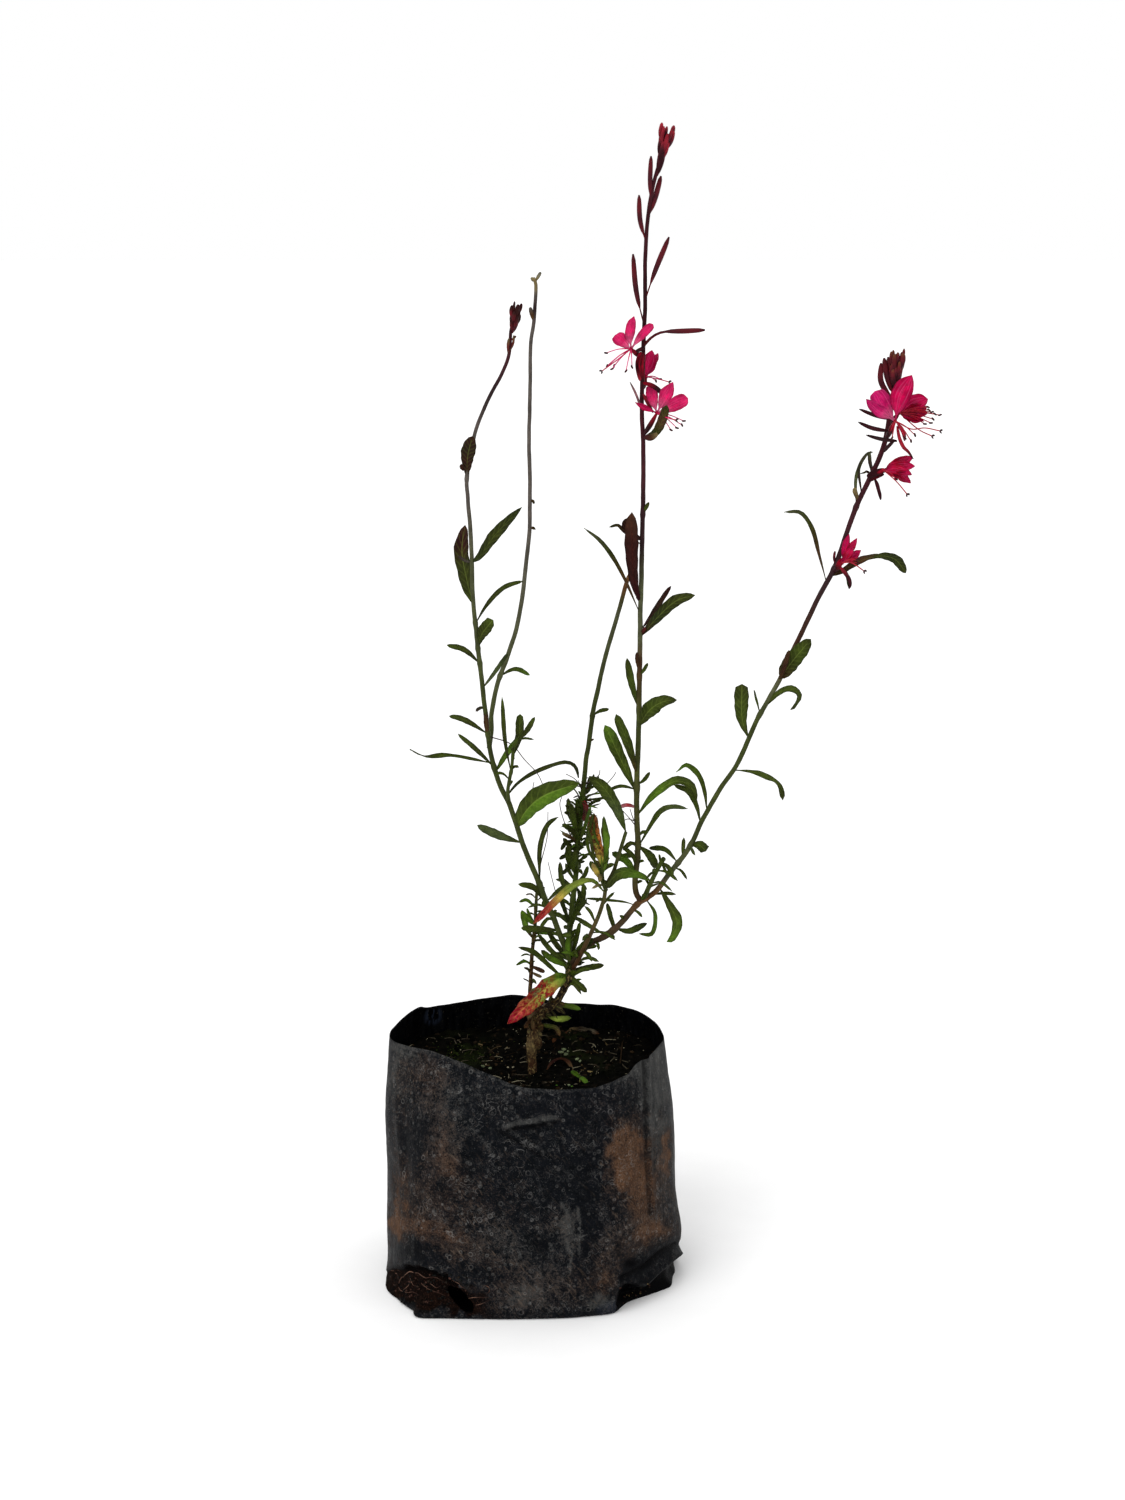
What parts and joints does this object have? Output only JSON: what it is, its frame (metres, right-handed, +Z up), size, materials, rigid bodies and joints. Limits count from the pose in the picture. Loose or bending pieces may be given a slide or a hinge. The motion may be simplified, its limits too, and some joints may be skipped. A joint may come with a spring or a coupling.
{
  "type": "potted gaura plant",
  "caption": "Young pink-flowered gaura with wiry upright stems and narrow leaves, growing in a soft black film grow bag of potting mix.",
  "frame": {"origin": "middle of the grow bag's flat base, on the surface that it stands on", "axes": "+Z up, -Y towards the front of the bag as pictured, +X to the viewer's right"},
  "size_m": [0.2654, 0.1152, 0.573],
  "materials": {
    "black_film": "dusty, creased polythene film",
    "potting_mix": "moist black potting mix",
    "bark": "rough tan bark",
    "burgundy_stem": "smooth green to burgundy stem",
    "green_stem": "smooth olive stem",
    "green_leaf": "satin leaf with a pale midrib",
    "red_leaf": "leaf turning red, speckled",
    "yellow_leaf": "old yellow and orange leaf",
    "dark_leaf": "dark maroon leaf",
    "pink_petal": "soft pink petal",
    "stamen": "pale pink filament",
    "dry_litter": "dry brown litter"
  },
  "bodies": {
    "root": {"grow_bag": "black_film", "potting_mix": "potting_mix", "woody_base": "bark", "brown_stem": "bark", "right_stem": "burgundy_stem", "centre_stem": "burgundy_stem", "left_stem": "green_stem", "whip_stem": "green_stem", "middle_stem": "green_stem", "short_stem": "green_stem", "old_leaf_shoot": "green_stem", "stub_shoot": "green_stem", "left_side_shoot": "green_stem", "large_green_leaf": "green_leaf", "grey_green_leaf": "green_leaf", "left_wavy_leaf": "green_leaf", "left_arching_leaf": "green_leaf", "left_upper_leaf": "green_leaf", "left_broad_leaf": "green_leaf", "blue_green_leaf": "green_leaf", "olive_leaf": "green_leaf", "arched_leaf_upper": "green_leaf", "arched_leaf_lower": "green_leaf", "paired_leaf_near": "green_leaf", "paired_leaf_far": "green_leaf", "centre_upper_leaf": "green_leaf", "centre_green_leaf": "green_leaf", "left_reaching_leaf": "green_leaf", "right_inner_leaf": "green_leaf", "right_hooked_leaf": "green_leaf", "right_hanging_leaf": "green_leaf", "right_wavy_leaf": "green_leaf", "right_ovate_leaf": "green_leaf", "right_curled_leaf": "green_leaf", "right_big_leaf": "green_leaf", "right_long_leaf": "green_leaf", "right_outer_leaf": "green_leaf", "seedling": "green_leaf", "red_tip_leaf": "red_leaf", "speckled_red_leaf": "red_leaf", "orange_leaf": "yellow_leaf", "maroon_leaf": "dark_leaf", "folded_brown_leaf": "dark_leaf", "flower_1_petals": "pink_petal", "flower_1_stamens": "stamen", "flower_2_petals": "pink_petal", "flower_2_stamens": "stamen", "flower_3_petals": "pink_petal", "flower_3_stamens": "stamen", "flower_4_petals": "pink_petal", "flower_4_stamens": "stamen", "flower_5_petals": "pink_petal", "flower_5_stamens": "stamen", "flower_6_petals": "pink_petal", "flower_6_stamens": "stamen", "flower_7_petals": "pink_petal", "flower_7_stamens": "stamen", "curled_dead_leaf": "dry_litter", "bark_chip": "dry_litter", "dry_twig": "dry_litter"}
  },
  "joints": []
}
